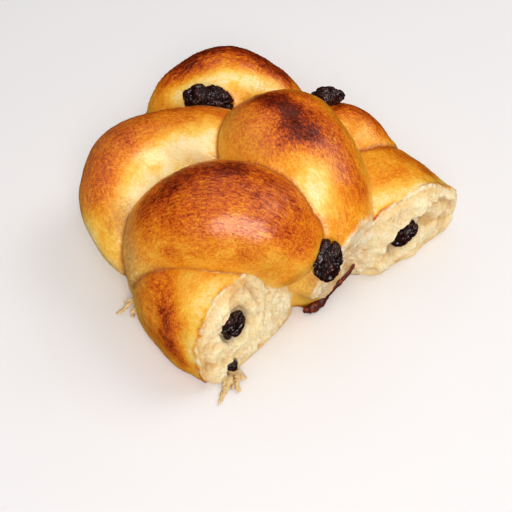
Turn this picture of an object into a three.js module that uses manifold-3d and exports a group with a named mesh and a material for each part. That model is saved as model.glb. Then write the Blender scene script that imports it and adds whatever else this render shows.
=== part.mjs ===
// The torn end of a braided raisin loaf, lying on its flat baked base. Millimetres, +Z up.
// Origin: centre of the loaf's bounding box, on the plane that it rests on.
// +Y points towards the rounded end of the braid, and the torn end faces +X -Y.
import * as THREE from "three";
import { mergeVertices } from "three/addons/utils/BufferGeometryUtils.js";
import Module from "manifold-3d";

const wasm = await Module();
wasm.setup();

// Driving dimensions.
const SIDES = 26; // facets round a strand
const RING_STEP = 3.2; // length of strand from one ring of facets to the next
const DOME_RINGS = 5; // rings in a rounded strand end
const DOME_SHARE = 0.75; // how far a round end reaches, as a share of the strand's smaller half size
const TORN_REACH = 3; // how far the crumb of a torn end stands out past the crust's edge
const SQUARENESS = 2.4; // 2 makes a strand's section an ellipse, and more makes it boxier
const POCKET_GAP = 0.3; // between a raisin and the crumb round it
const RAISIN_DETAIL = 3; // times that each face of an icosahedron is split
const RAISIN_FOLDS = 5; // folds round a raisin
const FOLD_TWIST = 3; // radians that the folds turn from a raisin's middle to its end
const FOLD_DEPTH = 0.06; // depth of half a fold, as a share of the raisin's half size
const OUTLINE_STEPS = 48; // corners in the outline of a filling
const SAME_POINT = 1e-4; // corners of a surface that are closer than this are one corner
const CUTTER = { side: 400, depth: 100 }; // a block that is larger than the loaf
const UP = new THREE.Vector3(0, 0, 1);

const crust = new THREE.MeshStandardMaterial({ color: 0xd98a35, roughness: 0.45, metalness: 0 });
const raisinSkin = new THREE.MeshStandardMaterial({ color: 0x2a1512, roughness: 0.5, metalness: 0 });

// The plane that the loaf was baked on, the plane that the low end of right_centre was torn along, and
// the one that took the inner corner off the torn end of right.
const tray = { at: [0, 0, 0], facing: [0, 0, -1] };
const tear = { at: [38.9, -24, 16.6], facing: [0.776, -0.615, -0.139] };
const cornerTear = { at: [47.7, -16.8, 0], facing: [-0.28, -0.96, 0] };

// Each strand is a row of stations, [x, y, z, half width, half height], in the order that it runs.
// A torn end is nearly square, with the crumb a little proud; every other end is round. A torn side
// is cut off along its plane.
const strands = [
  {
    name: "front",
    stations: [
      [-24, -22, 10, 12, 12],
      [-23, -22, 23, 14.5, 15],
      [-15, -21, 35, 16.5, 17],
      [-3, -21.5, 41, 18.5, 18],
      [9, -23.5, 40, 18, 17.5],
      [19, -26.5, 34, 14.5, 15],
    ],
  },
  {
    name: "front_lower",
    tornEnd: true,
    stations: [
      [-21, -18, 13, 18, 22],
      [-13, -27.5, 12, 23, 25],
      [-3.5, -35.5, 12, 25, 26],
      [6.2, -44.7, 13.5, 22.8, 24.5],
    ],
  },
  {
    name: "left",
    stations: [
      [8, 8, 28, 15, 15],
      [-5, 15, 32, 15.5, 16.5],
      [-19, 18, 28, 15, 18.5],
      [-31, 13.5, 23, 15, 21],
      [-36, 1.5, 19, 13.5, 22],
      [-33, -10, 17, 12, 20.5],
      [-27, -19, 15, 10, 18],
    ],
  },
  {
    name: "left_inner",
    stations: [
      [-8, 2, 26, 13, 14],
      [-19, 2, 24, 14, 14.5],
      [-29, -1, 20, 12, 15],
    ],
  },
  {
    name: "right_centre",
    reach: 22,
    tornSide: tear,
    stations: [
      [17, 11, 38, 23.5, 20],
      [22.5, 1, 37, 23, 20],
      [28, -9, 33, 20.5, 19.5],
      [30.5, -18, 25, 16.5, 18],
      [29.5, -25, 17, 13, 15],
    ],
  },
  {
    name: "back",
    stations: [
      [-25, 43, 11, 13, 16],
      [-15, 50.5, 16, 18, 22.5],
      [-3, 52.5, 18, 22, 26],
      [9, 51, 16, 18.5, 22.5],
      [20, 44, 12, 15, 18],
    ],
  },
  {
    name: "rear_right",
    stations: [
      [20, 33.5, 17.5, 14, 16.5],
      [32, 32, 16.5, 16.5, 20.5],
      [43, 26.5, 14, 16.5, 21.5],
      [51, 19.5, 13, 15, 19],
    ],
  },
  {
    name: "right",
    tornEnd: true,
    tornSide: cornerTear,
    stations: [
      [41, 25, 11, 17, 19],
      [47, 15, 11, 22, 22],
      [53.7, 3.5, 11, 26, 24],
      [61.2, -7, 10.5, 28.5, 25],
    ],
  },
  {
    name: "rear_inner",
    stations: [
      [-10, 27, 16, 15, 17],
      [8, 28, 18, 16, 17.5],
      [25, 26, 17, 15, 16],
    ],
  },
  {
    name: "middle",
    tornSide: tear,
    stations: [
      [-4, 2, 20, 16, 16],
      [11, -6, 17, 17, 17],
      [21, -14, 13, 16, 15],
      [28.5, -21, 9, 13.5, 12],
    ],
  },
];

// Each raisin: its centre, the way its long axis lies, the way it faces out of the loaf, and its half
// sizes along, across and out.
const raisins = [
  { name: "raisin_back_groove", at: [-9.5, 37.5, 38], along: [0.95, -0.29, 0.1], out: [-0.3, -0.55, 0.75],
    halfSizes: [10, 5.8, 5.2] },
  { name: "raisin_rear_right", at: [35.2, 38.8, 38], along: [1, -0.05, -0.15], out: [0.15, 0.3, 0.94],
    halfSizes: [6.2, 4.6, 4.2] },
  { name: "raisin_front_groove", at: [31.7, -32.8, 34], along: [-0.02, 0.48, 0.87], out: [0.11, -0.88, 0.47],
    halfSizes: [7, 5.6, 5] },
  { name: "raisin_front_crumb", at: [1.4, -50.4, 23], along: [0.35, 0.52, 0.9], out: [0.73, -0.68, 0.1],
    halfSizes: [6, 5.3, 3.8] },
  { name: "raisin_right_crumb", at: [62, -8.6, 17.3], along: [8.2, 5.9, 7.3], out: [0.59, -0.8, 0.1],
    halfSizes: [6.4, 4.4, 3.4] },
  { name: "raisin_front_base", at: [0.5, -56, 5], along: [0.3, 0.3, 0.9], out: [0.73, -0.68, 0.1],
    halfSizes: [2.8, 2.1, 2.2] },
  { name: "raisin_back_outer", at: [-14, 69, 21], along: [0.8, 0.3, 0.5], out: [-0.4, 0.85, 0.35],
    halfSizes: [6.5, 4.8, 4.4] },
  { name: "raisin_rear_groove", at: [34.5, 48, 14], along: [0.5, -0.3, 0.8], out: [0.35, 0.9, 0.2],
    halfSizes: [6.8, 4.8, 4.4] },
];

// Hand-placed outline of the dough that fills the underside between the strands.
const baseOutline = [
  [-8, -46], [-28, -32], [-40, -10], [-40, 8], [-26, 28], [-14, 54], [8, 56], [30, 38],
  [50, 30], [66, 10], [54, -2], [43.5, -12.5], [38, -19], [33.5, -25], [28.5, -30], [23, -29.5],
  [14, -28], [4, -36],
];
const baseMiddle = new THREE.Vector3(10, 4, 0);

// The dough under the grooves, out to the whole outline, and the taller dough in the heart of the loaf.
const fillings = [
  { share: 1, height: 9 },
  { share: 0.7, height: 24 },
];

// A sine or cosine, drawn out so that the section is a superellipse.
function squared(value) {
  return Math.sign(value) * Math.abs(value) ** (2 / SQUARENESS);
}

// Smooth rows between stations: centre, half width and half height at equal steps along the strand.
function rowsOf(stations) {
  const centres = new THREE.CatmullRomCurve3(stations.map(([x, y, z]) => new THREE.Vector3(x, y, z)));
  const sizes = new THREE.CatmullRomCurve3(stations.map(([, , , w, h]) => new THREE.Vector3(w, h, 0)));
  const count = Math.ceil(centres.getLength() / RING_STEP);
  let carried = new THREE.Vector3().crossVectors(centres.getTangent(0), UP);
  return Array.from({ length: count + 1 }, (_, i) => {
    const t = i / count;
    const tangent = centres.getTangent(t);
    const side = carried.clone().addScaledVector(tangent, -carried.dot(tangent)).normalize();
    carried = side;
    const size = sizes.getPoint(t);
    return {
      centre: centres.getPoint(t),
      tangent,
      side,
      rise: new THREE.Vector3().crossVectors(side, tangent),
      halfWidth: size.x,
      halfHeight: size.y,
    };
  });
}

// Rings that close one end in a dome, from its pole towards the strand. sign is -1 at the start.
function domeRows(row, sign, reach) {
  return Array.from({ length: DOME_RINGS }, (_, i) => {
    const angle = ((i + 1) / (DOME_RINGS + 1)) * (Math.PI / 2);
    return {
      ...row,
      centre: row.centre.clone().addScaledVector(row.tangent, sign * reach * Math.cos(angle)),
      halfWidth: row.halfWidth * Math.sin(angle),
      halfHeight: row.halfHeight * Math.sin(angle),
    };
  });
}

function strandGeometry({ stations, tornEnd = false, reach }) {
  const body = rowsOf(stations);
  const first = body[0];
  const last = body[body.length - 1];
  const startReach = reach ?? DOME_SHARE * Math.min(first.halfWidth, first.halfHeight);
  const endReach = tornEnd ? TORN_REACH : DOME_SHARE * Math.min(last.halfWidth, last.halfHeight);
  const rows = [...domeRows(first, -1, startReach), ...body, ...domeRows(last, 1, endReach).reverse()];
  const points = [];
  for (const row of rows)
    for (let j = 0; j < SIDES; j++) {
      const angle = (j / SIDES) * 2 * Math.PI;
      points.push(
        row.centre
          .clone()
          .addScaledVector(row.side, row.halfWidth * squared(Math.cos(angle)))
          .addScaledVector(row.rise, row.halfHeight * squared(Math.sin(angle))),
      );
    }
  const startPole = points.push(first.centre.clone().addScaledVector(first.tangent, -startReach)) - 1;
  const endPole = points.push(last.centre.clone().addScaledVector(last.tangent, endReach)) - 1;
  const index = [];
  for (let i = 0; i < rows.length - 1; i++)
    for (let j = 0; j < SIDES; j++) {
      const a = i * SIDES + j;
      const b = i * SIDES + ((j + 1) % SIDES);
      index.push(a, b, b + SIDES, a, b + SIDES, a + SIDES);
    }
  const lastRing = (rows.length - 1) * SIDES;
  for (let j = 0; j < SIDES; j++) {
    const next = (j + 1) % SIDES;
    index.push(startPole, next, j);
    index.push(endPole, lastRing + j, lastRing + next);
  }
  return new THREE.BufferGeometry().setFromPoints(points).setIndex(index);
}

// A raisin at its own origin, long axis along X and facing +Z, puckered in folds. turn sets where the
// folds start. With a swell it is the smooth pocket that clears the raisin by that much.
function raisinGeometry([along, across, out], turn, swell = 0) {
  const geometry = new THREE.IcosahedronGeometry(1, RAISIN_DETAIL);
  const points = geometry.attributes.position;
  const point = new THREE.Vector3();
  for (let i = 0; i < points.count; i++) {
    point.fromBufferAttribute(points, i).normalize();
    const roundAxis = Math.atan2(point.z, point.y);
    const fold = Math.sin(RAISIN_FOLDS * roundAxis + FOLD_TWIST * point.x + turn);
    const size = swell > 0 ? 1 : 1 - FOLD_DEPTH * (1 - fold);
    const halfSizes = new THREE.Vector3(along, across, out).multiplyScalar(size).addScalar(swell);
    point.multiply(halfSizes);
    points.setXYZ(i, point.x, point.y, point.z);
  }
  return geometry;
}

function raisinPlace({ at, along, out }) {
  const x = new THREE.Vector3(...along).normalize();
  const y = new THREE.Vector3().crossVectors(new THREE.Vector3(...out), x).normalize();
  const z = new THREE.Vector3().crossVectors(x, y);
  return new THREE.Matrix4().makeBasis(x, y, z).setPosition(...at);
}

// Dough that fills the loaf from the base up to a height. share draws the outline in towards the middle.
function fillingGeometry({ share, height }) {
  const corners = baseOutline.map(([x, y]) => new THREE.Vector3(x, y, 0).lerp(baseMiddle, 1 - share));
  const outline = new THREE.CatmullRomCurve3(corners, true).getPoints(OUTLINE_STEPS).slice(1);
  const shape = new THREE.Shape(outline.map(({ x, y }) => new THREE.Vector2(x, y)));
  return new THREE.ExtrudeGeometry(shape, { depth: height, bevelEnabled: false });
}

// Turns a closed geometry into a manifold-3d solid, wherever its faces point.
function solidOf(geometry) {
  const bare = geometry.clone();
  bare.deleteAttribute("normal");
  bare.deleteAttribute("uv");
  const merged = mergeVertices(bare, SAME_POINT);
  const triVerts = new Uint32Array(merged.index.array);
  const vertProperties = new Float32Array(merged.attributes.position.array);
  const solid = new wasm.Manifold(new wasm.Mesh({ numProp: 3, vertProperties, triVerts }));
  if (solid.volume() > 0) return solid;
  const turned = triVerts.map((_, i) => triVerts[i - (i % 3) + [0, 2, 1][i % 3]]);
  return new wasm.Manifold(new wasm.Mesh({ numProp: 3, vertProperties, triVerts: turned }));
}

function geometryOf(solid) {
  const mesh = solid.getMesh();
  return new THREE.BufferGeometry()
    .setAttribute("position", new THREE.BufferAttribute(mesh.vertProperties, 3))
    .setIndex(new THREE.BufferAttribute(mesh.triVerts, 1));
}

// Everything past a plane, on the side that it faces.
function beyond({ at, facing }) {
  const block = new THREE.BoxGeometry(CUTTER.side, CUTTER.side, CUTTER.depth);
  block.translate(0, 0, CUTTER.depth / 2);
  const direction = new THREE.Vector3(...facing).normalize();
  block.applyQuaternion(new THREE.Quaternion().setFromUnitVectors(UP, direction));
  block.translate(...at);
  return solidOf(block);
}

function strandSolid(strand) {
  const whole = solidOf(strandGeometry(strand));
  return strand.tornSide ? whole.subtract(beyond(strand.tornSide)) : whole;
}

function loafSolid() {
  const blocks = fillings.map((filling) => solidOf(fillingGeometry(filling)));
  let dough = [...blocks, ...strands.map(strandSolid)].reduce((joined, piece) => joined.add(piece));
  raisins.forEach((raisin, i) => {
    const pocket = raisinGeometry(raisin.halfSizes, i, POCKET_GAP).applyMatrix4(raisinPlace(raisin));
    dough = dough.subtract(solidOf(pocket));
  });
  return dough.subtract(beyond(tray));
}

const model = new THREE.Group();
const loaf = new THREE.Mesh(geometryOf(loafSolid()), crust);
loaf.name = "loaf";
model.add(loaf);
raisins.forEach((raisin, i) => {
  const mesh = new THREE.Mesh(raisinGeometry(raisin.halfSizes, i), raisinSkin);
  mesh.name = raisin.name;
  mesh.applyMatrix4(raisinPlace(raisin));
  model.add(mesh);
});

// Centre the model over its own box, measured round every turned corner.
const box = new THREE.Box3().setFromObject(model, true);
const middle = box.getCenter(new THREE.Vector3());
model.position.set(-middle.x, -middle.y, -box.min.z);

export default model;
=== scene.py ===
import math

import bmesh
import bpy
import numpy as np
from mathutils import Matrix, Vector, noise


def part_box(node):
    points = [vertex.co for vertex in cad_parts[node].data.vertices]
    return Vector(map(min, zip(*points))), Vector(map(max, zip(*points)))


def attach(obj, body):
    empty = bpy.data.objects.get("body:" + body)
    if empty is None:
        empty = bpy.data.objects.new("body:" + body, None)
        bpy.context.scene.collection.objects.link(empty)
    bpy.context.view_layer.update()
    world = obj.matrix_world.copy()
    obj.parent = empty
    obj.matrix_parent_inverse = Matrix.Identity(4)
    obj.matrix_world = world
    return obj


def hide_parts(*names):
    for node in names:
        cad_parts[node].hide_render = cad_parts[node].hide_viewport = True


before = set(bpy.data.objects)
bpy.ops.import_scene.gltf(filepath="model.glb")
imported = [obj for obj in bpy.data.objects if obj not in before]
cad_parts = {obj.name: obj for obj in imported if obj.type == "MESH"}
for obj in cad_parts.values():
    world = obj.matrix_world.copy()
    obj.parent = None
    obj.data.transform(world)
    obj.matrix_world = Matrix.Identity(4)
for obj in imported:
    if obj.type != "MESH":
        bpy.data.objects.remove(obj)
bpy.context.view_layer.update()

# The torn end of a braided raisin loaf. The dough is worked out in millimetres, in the axes that the
# strands were laid out in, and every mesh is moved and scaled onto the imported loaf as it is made.
MM = 0.001
TO_MM = (1000, 1000, 1000)

# How the strands' sections and ends are drawn, as in the CAD model.
SQUARENESS = 2.4  # power of the rounded section, where 2 would be an ellipse
DOME_SHARE = 0.75  # length of a round end, as a share of the strand's smaller half size
TORN_REACH = 3.0  # how far the crumb stands out of a torn end

ROUGH_STEPS = 60  # along a strand, to measure its length
RING_STEP = 1.0  # between rings of a strand
SIDES = 96  # points round a strand
DOME_RINGS = 12
VOXEL = 0.9  # grain of the joined crust
SEAM_REACH = 2.0  # the mesh is split finer this near to a seam
CRUST_EDGE = 0.6  # thickness of crust that shows round a torn end
CRUMB_GRID = 150  # points each way over a torn end
CRUMB_DEPTH = 4  # how far the crumb's slab reaches into the dough
WRINKLE_SPREAD = 16  # mm of crust for each radian round a strand
STRAND_GAP = 50.0  # sets the strands' patterns apart

NEARBY = 1e-4  # a step along a curve that is too short to see
FAR = 1e3  # mm, further away than anything
LEVEL = 1e-3  # a slope that counts as none

# Every noise is the same in each run. A seed moves it by so many of these steps.
NOISE_STEP = (17.3, 5.1, 9.7)
NOISE_SMOOTHNESS = 0.8
NOISE_GAP = 2.1  # between the sizes of one octave's features and the next one's

# Each strand: name, whether its far end is torn, the reach of its near end if it isn't a usual dome,
# and its stations [x, y, z, half width, half height].
STRANDS = [
    ("front", False, None, [
        [-24, -22, 10, 12, 12], [-23, -22, 23, 14.5, 15], [-15, -21, 35, 16.5, 17],
        [-3, -21.5, 41, 18.5, 18], [9, -23.5, 40, 18, 17.5], [19, -26.5, 34, 14.5, 15]]),
    ("front_lower", True, None, [
        [-21, -18, 13, 18, 22], [-13, -27.5, 12, 23, 25], [-3.5, -35.5, 12, 25, 26],
        [6.2, -44.7, 13.5, 22.8, 24.5]]),
    ("left", False, None, [
        [8, 8, 28, 15, 15], [-5, 15, 32, 15.5, 16.5], [-19, 18, 28, 15, 18.5],
        [-31, 13.5, 23, 15, 21], [-36, 1.5, 19, 13.5, 22], [-33, -10, 17, 12, 20.5],
        [-27, -19, 15, 10, 18]]),
    ("left_inner", False, None, [
        [-8, 2, 26, 13, 14], [-19, 2, 24, 14, 14.5], [-29, -1, 20, 12, 15]]),
    ("right_centre", False, 22, [
        [17, 11, 38, 23.5, 20], [22.5, 1, 37, 23, 20], [28, -9, 33, 20.5, 19.5],
        [30.5, -18, 25, 16.5, 18], [29.5, -25, 17, 13, 15]]),
    ("back", False, None, [
        [-25, 43, 11, 13, 16], [-15, 50.5, 16, 18, 22.5], [-3, 52.5, 18, 22, 26],
        [9, 51, 16, 18.5, 22.5], [20, 44, 12, 15, 18]]),
    ("rear_right", False, None, [
        [20, 33.5, 17.5, 14, 16.5], [32, 32, 16.5, 16.5, 20.5], [43, 26.5, 14, 16.5, 21.5],
        [51, 19.5, 13, 15, 19]]),
    ("right", True, None, [
        [41, 25, 11, 17, 19], [47, 15, 11, 22, 22], [53.7, 3.5, 11, 26, 24],
        [61.2, -7, 10.5, 28.5, 25]]),
    ("rear_inner", False, None, [
        [-10, 27, 16, 15, 17], [8, 28, 18, 16, 17.5], [25, 26, 17, 15, 16]]),
    ("middle", False, None, [
        [-4, 2, 20, 16, 16], [11, -6, 17, 17, 17], [21, -14, 13, 16, 15], [28.5, -21, 9, 13.5, 12]]),
]

# Planes that a strand's side was torn off along: a point, and the way the torn side faces.
TEARS = {
    "right_centre": ((38.9, -24, 16.6), (0.776, -0.615, -0.139)),
    "middle": ((38.9, -24, 16.6), (0.776, -0.615, -0.139)),
    "right": ((47.7, -16.8, 0), (-0.28, -0.96, 0)),
}

# Strands in the heart of the loaf, and the one that each runs into without a seam.
INNER = {"left_inner": "left", "rear_inner": "back", "middle": "right_centre"}

# The dough underneath: an outline, the point it draws in towards, and each block's share and height.
BASE_OUTLINE = [
    (-8, -46), (-28, -32), (-40, -10), (-40, 8), (-26, 28), (-14, 54), (8, 56), (30, 38), (50, 30),
    (66, 10), (54, -2), (43.5, -12.5), (38, -19), (33.5, -25), (28.5, -30), (23, -29.5), (14, -28),
    (4, -36)]
BASE_MIDDLE = (10, 4)
FILLINGS = [(1, 9), (0.7, 24)]

# Each raisin: its centre, its long axis, the way it faces, and its half sizes along, across and out.
RAISINS = {
    "raisin_back_groove": ((-9.5, 37.5, 38), (0.95, -0.29, 0.1), (-0.3, -0.55, 0.75), (10, 5.8, 5.2)),
    "raisin_rear_right": ((35.2, 38.8, 38), (1, -0.05, -0.15), (0.15, 0.3, 0.94), (6.2, 4.6, 4.2)),
    "raisin_front_groove": ((31.7, -32.8, 34), (-0.02, 0.48, 0.87), (0.11, -0.88, 0.47), (7, 5.6, 5)),
    "raisin_front_crumb": ((1.4, -50.4, 23), (0.35, 0.52, 0.9), (0.73, -0.68, 0.1), (5.4, 4.7, 3.6)),
    "raisin_right_crumb": ((62, -8.6, 17.3), (8.2, 5.9, 7.3), (0.59, -0.8, 0.1), (5.9, 4.8, 3.5)),
    "raisin_front_base": ((0.5, -56, 5), (0.3, 0.3, 0.9), (0.73, -0.68, 0.1), (2.8, 2.1, 2.2)),
    "raisin_back_outer": ((-14, 69, 21), (0.8, 0.3, 0.5), (-0.4, 0.85, 0.35), (6.5, 4.8, 4.4)),
    "raisin_rear_groove": ((34.5, 48, 14), (0.5, -0.3, 0.8), (0.35, 0.9, 0.2), (6.8, 4.8, 4.4)),
}

# Where the oven browned each strand more or less, and where a few paler painted highlights lie: how
# much, how wide in mm, and a line.
BROWNING_AND_HIGHLIGHTS = {
    "front": [
        (0.30, 7.5, [(-26, -20, 47), (-20, -16, 52), (-14, -14, 55), (-6, -14, 58), (2, -15, 58)]),
        (0.14, 6, [(2, -15, 58), (10, -16, 57), (18, -18, 55), (26, -25, 48)]),
        (0.14, 12, [(-14, -30, 53), (14, -32, 53)]),
        (0.19, 8, [(-20, -38, 39), (-9, -42, 40), (4, -42, 41), (21, -42, 37)]),
        # A painted reflection: light bounced up from the floor, painted as a paler line along the lower
        # edge.
        (-0.10, 3.5, [(6, -41, 40), (16, -40.5, 39.7), (23, -40, 37.5)]),
        (0.10, 7, [(20, -30, 50), (25, -34, 44)])],
    "left": [
        (0.14, 8, [
            (-49, -6, 33), (-48, 4, 37), (-43, 16, 39), (-36, 25, 39), (-24, 28, 42), (-8, 25, 46)]),
        (0.12, 7, [(-42, -6, 37), (-38, 3, 39.5), (-35, 11, 41)]),
        (-0.50, 9, [(-4, 9, 48), (-12, 6, 46), (-19, 5, 42), (-27, 0, 37), (-31, -7, 34)]),
        (-0.24, 9, [(-46, -18, 28), (-44, -18, 14)]),
        (0.22, 2.2, [(-3.6, 19.6, 47.8), (-3.7, 11.8, 48.3), (-3.9, 5.8, 47.2)])],
    "right_centre": [
        (0.28, 4.6, [(11, 21, 56), (17, 15, 57.5), (20.5, 8, 57.6), (21.5, 2, 57.4)]),
        (0.20, 7, [(7, 23, 54), (14, 17, 57.5), (18, 7, 57.7), (20, -3, 57)]),
        (0.14, 5, [(24, 16, 56.5), (26, 8, 57), (28, 1, 56.7)]),
        (0.16, 4.5, [
            (27, 1, 57), (32, 9, 56), (35, 1, 55), (38, -6, 52), (41, -11, 49), (44, -14, 45)]),
        # A painted highlight: a soft gloss on the top of right_centre, painted as paler crust.
        (-0.22, 6.5, [(22, -7, 55.5), (26, -13, 53.5), (28.5, -17.5, 51), (30.5, -21, 48)]),
        (-0.20, 3.5, [(27, -13, 53), (28.5, -17, 51)]),
        (-0.03, 7, [(0, 12, 52.5), (2, 3, 53), (7, -3, 54)])],
    "back": [
        (0.40, 10, [(-19, 58, 38), (-11, 61, 41), (-1, 63, 42), (10, 61, 40), (18, 57, 36)]),
        (-0.50, 4.5, [(-20, 43, 35), (-12, 43.5, 40), (-3, 44.5, 42.6), (6.5, 45, 41), (16, 46, 36)]),
        (-0.10, 4, [(-2, 39.5, 38.5), (2, 38.5, 39)])],
    "rear_right": [
        (0.26, 6, [(38, 37, 36), (48, 34, 34), (56, 29, 31)]),
        (-0.12, 4.5, [(42, 25, 35.5), (50, 24, 33.5), (57, 25, 30)])],
    "right": [
        (0.14, 5, [(56, 20, 31), (65, 15, 31), (76, 7, 29)]),
        (-0.05, 8, [(50, 12, 35), (60, 9, 34)]),
        (-0.34, 5, [
            (46, -10, 34), (52, -8, 34.5), (60, -5, 35), (68, -2, 34.5), (79, 4, 26), (84, 8, 18)])],
    "front_lower": [
        (0.14, 7, [(-21, -43, 32), (-20, -47, 30), (-19.3, -52, 25), (-18.5, -55, 17), (-16, -57, 9)]),
        (0.36, 4.5, [(-20.3, -49, 26.5), (-19.6, -52, 22.5), (-18.4, -55, 16), (-17, -56.5, 11)]),
        (0.08, 5, [(-13.6, -54.8, 27)]),
        (-0.20, 5.5, [
            (-12, -42, 35.5), (-12, -46, 34), (-11, -50.5, 32), (-10, -56.5, 26), (-9, -60.5, 17)]),
        (-0.24, 5, [(3, -42, 38), (-2, -45, 37.5), (-5, -50, 35.5)]),
        (0.20, 7, [(-29.5, -38.5, 25), (-28, -44, 20), (-26, -47.5, 13)])],
}

# Where the crust is dull and greyish, with flour or dried egg: how much, how wide in mm, and a line.
DUSTY = [
    (1.0, 5.5, [(-36, -13, 33), (-34, -24, 37), (-32.5, -31, 35), (-34, -33, 20)]),
    (0.25, 4, [(-31, -37, 25), (-29, -43, 18), (-27, -46, 8)]),
    (0.5, 2, [(-30, -34.5, 32), (-22, -36.5, 35)]),
    (0.5, 7, [(-50, -8, 32), (-49, 4, 35), (-45, 15, 38), (-37, 26, 38)]),
    (0.35, 6, [(2, 12, 52.5), (3, 2, 53.5), (8, -4, 54)]),
    (0.9, 4.5, [(28.5, -36, 27.5), (27, -34, 17)]),
]

# Torn shreds of crumb: radius at the root and at the tip, and a path, all in mm.
SHREDS = [
    (1.4, 0.5, [(0.8, -57, 4), (0, -59.5, 2.2), (-1, -62, 1.2), (-2.2, -64.5, 0.9), (-3.6, -68, 0.7)]),
    (1.1, 0.5, [(-0.2, -58, 2.6), (-1.6, -60, 1.5), (-1.8, -62.5, 1), (-3.2, -64.8, 0.6)]),
    (1.2, 0.6, [(2, -56.8, 4), (2.6, -59, 2.2), (2.4, -61.5, 1.1), (3.4, -63.5, 0.9)]),
    (0.9, 0.4, [(2.6, -57, 3), (4.2, -58.2, 1.6), (5.6, -58.4, 0.9)]),
    (0.7, 0.3, [(1.4, -57.5, 2), (1.2, -60.5, 0.9), (0.6, -62.5, 0.7)]),
    (1.0, 0.4, [(-35, -29.5, 5), (-37.5, -30.8, 3), (-38.8, -31.4, 1.6), (-41.5, -32.8, 0.8)]),
    (0.9, 0.4, [(-34, -31, 3), (-35.6, -33, 1.4), (-35, -34.4, 0.8)]),
    (0.7, 0.3, [(-35, -30, 6), (-37, -29.4, 4.4), (-38.8, -29.6, 3)]),
]

# Slow pulls on the baking dough: how far in mm, how wide, and where.
PULLS = [
    ((-1.8, -0.5, -2.4), 10, (79, 6, 30)),
    ((1.1, 0.8, 1.3), 10, (46, 35, 33)),
    ((-1.2, 0.7, 1.0), 16, (-44, 16, 34)),
    ((1.2, 0.5, 0.0), 13, (-46, -12, 14)),
]

# The hollow in the crumb round a raisin: where it starts and is deepest, in the raisin's half sizes,
# and how deep it is in mm.
HOLLOWS = {
    "raisin_front_crumb": (1.5, 0.95, 2.3),
    "raisin_right_crumb": (2.1, 1.05, 4.0),
    "raisin_front_base": (1.3, 0.9, 1.4),
}

# Folds in the torn crumb: how deep and how wide in mm, and a line.
FOLDS = [
    (1.6, 1.2, [(6.8, -43.1, 33.8), (8.4, -42.9, 30), (9.1, -43.2, 26.4)]),
    (1.0, 1.0, [(12, -40.5, 25), (11, -42, 19), (9, -44.5, 13)]),
    (2.2, 1.6, [(65, -7.5, 26), (70, -4, 27), (76, 1, 26), (80, 4, 21), (81, 4.5, 16)]),
]

# Brown juice round the raisins in the crumb: how strong, how wide in mm, and a line.
STAINS = [
    (0.95, 1.7, [(64.3, -8.2, 22), (66, -7, 24.5)]),
    (0.6, 1.8, [(0.5, -58, 4), (1, -58, 1)]),
]
SHRED_STAINS = [(0.5, 2.5, [(1, -57, 4)])]

# The burnt edge of the bottom crust, which curls up past the torn side: x, y, z and radius.
BASE_LIP = [
    (25.6, -31.4, 0.9, 0.9), (28.6, -31.2, 1.8, 2.1), (31.8, -29.0, 2.5, 2.3),
    (34.2, -25.6, 2.8, 1.8), (37.2, -23.0, 3.4, 1.2), (40.6, -19.9, 4.4, 1.0),
    (43.2, -17.0, 5.4, 0.9), (45.0, -14.4, 6.6, 0.7)]


def unit(v):
    return v / np.linalg.norm(v, axis=-1, keepdims=True)


def smoothstep(low, high, x):
    s = np.clip((x - low) / (high - low), 0, 1)
    return s * s * (3 - 2 * s)


def bell(x, width):
    """1 where x is 0, and falling to nothing about two widths away."""
    return np.exp(-((x / width) ** 2))


def section_sum(x, y):
    """What makes up a strand's section: 1 on its outline. x and y are shares of its half sizes."""
    return np.abs(x) ** SQUARENESS + np.abs(y) ** SQUARENESS


def curve_at(points, t):
    """A centripetal Catmull-Rom curve through points, at each share t of the way along."""
    points = np.asarray(points, float)
    last = len(points) - 1
    padded = np.vstack([2 * points[0] - points[1], points, 2 * points[-1] - points[-2]])
    place = np.clip(t, 0, 1) * last
    i = np.minimum(place.astype(int), last - 1)
    w = (place - i)[:, None]
    p0, p1, p2, p3 = (padded[i + k] for k in range(4))
    pairs = ((p0, p1), (p1, p2), (p2, p3))
    d0, d1, d2 = (np.linalg.norm(b - a, axis=1)[:, None] ** 0.5 for a, b in pairs)
    d1 = np.where(d1 < NEARBY, 1, d1)
    d0 = np.where(d0 < NEARBY, d1, d0)
    d2 = np.where(d2 < NEARBY, d1, d2)
    m1 = ((p1 - p0) / d0 - (p2 - p0) / (d0 + d1) + (p2 - p1) / d1) * d1
    m2 = ((p2 - p1) / d1 - (p3 - p1) / (d1 + d2) + (p3 - p2) / d2) * d1
    return p1 + m1 * w + (3 * (p2 - p1) - 2 * m1 - m2) * w**2 + (2 * (p1 - p2) + m1 + m2) * w**3


def noise_at(points, size, seed=0, octaves=3):
    """Smooth noise, about -1 to 1. size is that of its largest features."""
    shift = Vector([seed * step for step in NOISE_STEP])
    return np.array([
        noise.fractal(Vector(p) / size + shift, NOISE_SMOOTHNESS, NOISE_GAP, octaves) for p in points])


def nearest_on_line(points, line):
    """Distance from each point to a polyline."""
    line = np.asarray(line, float)
    best = np.linalg.norm(points - line[0], axis=1)
    for a, b in zip(line[:-1], line[1:]):
        share = np.clip(((points - a) @ (b - a)) / ((b - a) @ (b - a)), 0, 1)[:, None]
        best = np.minimum(best, np.linalg.norm(points - a - share * (b - a), axis=1))
    return best


def strongest(points, marks):
    """The strongest of several marks at each point. Each has an amount, a width in mm and a line."""
    return np.max([
        amount * bell(nearest_on_line(points, line), width) for amount, width, line in marks], axis=0)


def past_plane(points, plane):
    """How far each point is past a plane, on the side that the plane faces."""
    at, facing = (np.array(v, float) for v in plane)
    return (points - at) @ unit(facing)


def ring_faces(rings, sides, first=0):
    """Faces between rings of points that follow one another, from point number first on."""
    faces = []
    for ring in range(rings - 1):
        for j in range(sides):
            a = first + ring * sides + j
            b = first + ring * sides + (j + 1) % sides
            faces.append((a, b, b + sides, a + sides))
    return faces


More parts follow.
